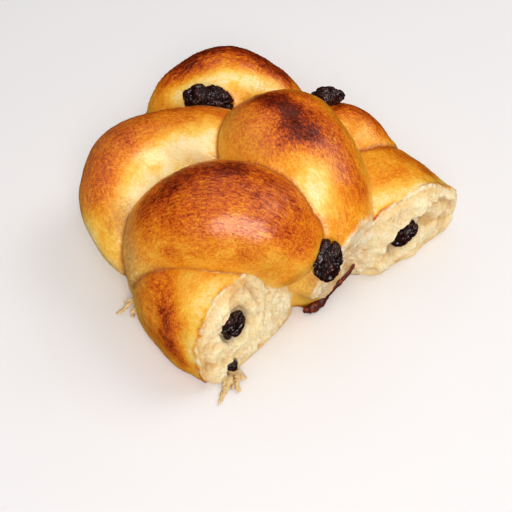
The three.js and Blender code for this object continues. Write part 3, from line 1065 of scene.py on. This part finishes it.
def raisin_mesh(at, along, out, half, seed):
    """A wrinkled raisin: long folds over its whole skin, and small creases between them."""
    ball = bmesh.new()
    bmesh.ops.create_icosphere(ball, subdivisions=6, radius=1)
    mesh = bpy.data.meshes.new("raisin")
    ball.to_mesh(mesh)
    ball.free()
    sphere = points_of(mesh)
    centre, axes = raisin_frame(at, along, out)
    half = np.array(half, float)
    size = half.mean()
    skin = sphere * half
    boxy = 1 - 0.10 * noise_at(sphere, 1.1, seed, 2)

    # The folds wander, because their noise is read at places that other noises have moved.
    warp = np.stack([noise_at(skin, 3.0, seed + apart, 1) for apart in WARP_SEEDS], axis=1)
    warped = skin + warp * 2.0
    folds = np.clip(1.8 * np.abs(noise_at(warped / (1.5, 1, 1), 4.6, seed + 11, 1)), 0, 1)
    creases = np.clip(2.0 * np.abs(noise_at(warped, 1.7, seed + 17, 2)), 0, 1)
    crest = np.clip(0.65 * folds + 0.45 * creases - 0.1, 0, 1)
    depth = (0.24 * (1 - folds) ** 2 + 0.10 * (1 - creases) ** 2) * size
    shape = skin * boxy[:, None] * 1.04 - unit(sphere / half) * depth[:, None]
    set_points(mesh, centre + shape @ axes)
    store(mesh, "crest", crest)
    return mesh


# ---- stage

# The photo's camera, as worked out from the plate. In the strands' axes, in mm.
CAMERA_AIM = (8.74, -17.39, 15)
CAMERA_DISTANCE = 284
CAMERA_ELEVATION = math.radians(54.18)
CAMERA_SENSOR = 36
CAMERA_LENS = 56.25

# Each lamp: azimuth and elevation in degrees, distance and size in metres, watts and colour.
# Azimuth 0 is on the camera's side, and 90 to its right.
LAMPS = {
    "key": (4, 48, 0.9, 0.46, 4.4, (1.0, 0.985, 0.965)),
    "side": (115, 52, 1.0, 0.5, 2.8, (1.0, 0.99, 0.98)),
    "back": (-150, 62, 1.1, 0.8, 1.6, (1.0, 1.0, 1.0)),
    "gleam": (3, 45, 0.9, 0.85, 5.2, (1.0, 0.99, 0.98)),
}
ONLY_SEEN_IN_GLOSS = "gleam"

FLOOR_SIZE = 3.0  # metres, from the middle to each side
FLOOR_DROP = 0.0002  # keeps it just clear of the loaf's base


def look_along(thing, way):
    thing.rotation_mode = "QUATERNION"
    thing.rotation_quaternion = way.to_track_quat("-Z", "Y")


def add_camera():
    data = bpy.data.cameras.new("camera")
    data.sensor_width = CAMERA_SENSOR
    data.lens = CAMERA_LENS
    camera = new_object("camera", data)
    back = Vector((0, -math.cos(CAMERA_ELEVATION), math.sin(CAMERA_ELEVATION)))
    camera.location = Vector(np.array(CAMERA_AIM) * MM + SHIFT) + back * CAMERA_DISTANCE * MM
    look_along(camera, -back)
    bpy.context.scene.camera = camera


def add_lamp(name, azimuth, elevation, distance, size, power, colour):
    """A soft square light that faces the loaf."""
    data = bpy.data.lights.new(name, "AREA")
    data.size = size
    data.energy = power
    data.color = colour
    lamp = new_object(name, data)
    a, e = math.radians(azimuth), math.radians(elevation)
    way = Vector((math.sin(a) * math.cos(e), -math.cos(a) * math.cos(e), math.sin(e)))
    lamp.location = way * distance
    look_along(lamp, -way)
    lamp.visible_diffuse = name != ONLY_SEEN_IN_GLOSS


def add_floor():
    """A pale floor, kept out of reflections, which it would fill with haze."""
    mesh = bpy.data.meshes.new("floor")
    corners = [(-1, -1, 0), (1, -1, 0), (1, 1, 0), (-1, 1, 0)]
    mesh.from_pydata([Vector(corner) * FLOOR_SIZE for corner in corners], [], [(0, 1, 2, 3)])
    floor = new_object("floor", mesh)
    floor.location.z = -FLOOR_DROP
    floor.visible_glossy = False
    n = Nodes("pale_floor")
    n.surface(Base_Color=srgb(237, 235, 236), Roughness=0.6, Specular_IOR_Level=0.2)
    mesh.materials.append(n.material)


def add_world():
    """Even white light from all round, kept out of reflections too, and how the picture is toned."""
    scene = bpy.context.scene
    world = bpy.data.worlds.new("soft_white")
    scene.world = world
    world.use_nodes = True
    background = world.node_tree.nodes["Background"]
    background.inputs["Color"].default_value = (1.0, 0.995, 0.99, 1)
    background.inputs["Strength"].default_value = 0.34
    world.cycles_visibility.glossy = False
    scene.view_settings.view_transform = "Standard"
    scene.view_settings.look = "Medium High Contrast"
    scene.view_settings.exposure = -0.18


crumb = crumb_material()
raisin_skin = raisin_material()

add_piece("loaf_crust", crust_mesh(), crust_material(), "loaf")
add_piece("loaf_crumb_front", crumb_mesh(strands["front_lower"], 5), crumb)
add_piece("loaf_crumb_right", crumb_mesh(strands["right"], 9), crumb)
add_piece("loaf_shreds", shred_mesh(), crumb)
add_piece("loaf_base_lip", lip_mesh(), lip_material())
for number, (name, raisin) in enumerate(RAISINS.items()):
    add_piece(name + "_skin", raisin_mesh(*raisin, seed=number + 1), raisin_skin, name)

add_camera()
add_floor()
add_world()
for name, lamp in LAMPS.items():
    add_lamp(name, *lamp)
